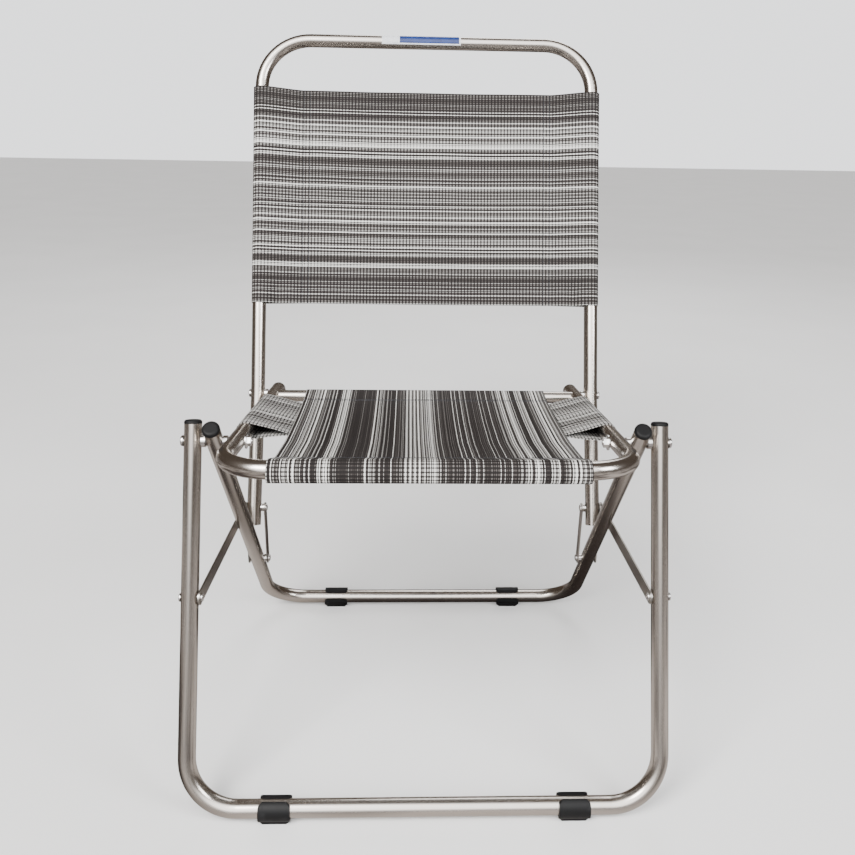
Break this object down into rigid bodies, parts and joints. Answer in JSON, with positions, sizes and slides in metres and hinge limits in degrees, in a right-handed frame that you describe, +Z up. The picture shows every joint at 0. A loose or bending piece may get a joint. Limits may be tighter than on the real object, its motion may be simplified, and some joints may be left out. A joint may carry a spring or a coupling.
{
  "type": "folding camp chair",
  "caption": "Low folding camp chair: bent round-tube frames that fold flat on side links, cloth sling seat and back, clip-on feet.",
  "frame": {"origin": "on the floor at the middle of the standing chair's outline, 162.4 mm behind the main pivot", "axes": "+Z up, +Y towards the back of the chair, +X across it, to the right of someone looking at its front; the chair is mirrored across X=0"},
  "size_m": [0.5402, 0.5586, 0.8586],
  "materials": {
    "steel_tube": "bright drawn steel tube, lightly scuffed",
    "steel_flat": "punched flat bar, plated",
    "fastener": "bright zinc",
    "black_plastic": "moulded black plastic",
    "striped_cloth": "ribbed woven cloth in brown, grey and off-white stripes",
    "sticker": "blank printed film"
  },
  "bodies": {
    "rear_legs": {"rear_leg_frame": "steel_tube", "rear_leg_plug_left": "black_plastic", "rear_leg_plug_right": "black_plastic", "rear_foot_left": "black_plastic", "rear_foot_right": "black_plastic", "main_bolts": "fastener", "main_outer_spacers": "fastener", "main_inner_spacers": "fastener", "main_washers": "fastener", "main_nuts": "fastener", "knee_rivets": "fastener", "knee_spacers": "fastener"},
    "front_legs": {"front_leg_frame": "steel_tube", "front_leg_plug_left": "black_plastic", "front_leg_plug_right": "black_plastic", "front_foot_left": "black_plastic", "front_foot_right": "black_plastic", "brace_front_rivets": "fastener", "brace_front_washers": "fastener"},
    "seat": {"seat_frame": "steel_tube", "seat_rear_bar": "steel_tube", "seat_plug_left": "black_plastic", "seat_plug_right": "black_plastic", "seat_sling": "striped_cloth", "seat_band": "striped_cloth"},
    "back": {"back_frame": "steel_tube", "back_bolts": "fastener", "back_spacers": "fastener", "back_nuts": "fastener", "back_tube_rivets": "fastener", "link_spacers": "fastener", "back_sling": "striped_cloth", "back_label": "sticker"},
    "links": {"link_outer_left": "steel_flat", "link_outer_right": "steel_flat", "link_inner_left": "steel_flat", "link_inner_right": "steel_flat", "link_inner_rivets": "fastener", "link_outer_rivets": "fastener"},
    "braces": {"brace_left": "steel_flat", "brace_right": "steel_flat", "brace_rear_rivets": "fastener"}
  },
  "joints": [
    {"name": "front_leg_fold", "type": "hinge", "parent": "rear_legs", "child": "front_legs", "pos_m": [0, -0.1624, 0.395], "axis": [1, 0, 0], "range_deg": [0, 50.17]},
    {"name": "seat_fold", "type": "hinge", "parent": "rear_legs", "child": "seat", "pos_m": [0, -0.1624, 0.395], "axis": [1, 0, 0], "range_deg": [-38.2, 0]},
    {"name": "back_fold", "type": "hinge", "parent": "seat", "child": "back", "pos_m": [0, 0.09223, 0.36328], "axis": [1, 0, 0], "range_deg": [0, 96.58]},
    {"name": "link_fold", "type": "hinge", "parent": "rear_legs", "child": "links", "pos_m": [0, 0.04739, 0.13549], "axis": [1, 0, 0], "range_deg": [-130.12, 0]},
    {"name": "brace_fold", "type": "hinge", "parent": "front_legs", "child": "braces", "pos_m": [0, -0.20633, 0.23171], "axis": [1, 0, 0], "range_deg": [-89.41, 0]}
  ],
  "couplings": [
    {"joint": "seat_fold", "follows": "front_leg_fold", "ratio": -0.76111},
    {"joint": "back_fold", "follows": "front_leg_fold", "ratio": 1.9247},
    {"joint": "link_fold", "follows": "front_leg_fold", "ratio": -2.5932},
    {"joint": "brace_fold", "follows": "front_leg_fold", "ratio": -1.7817}
  ]
}
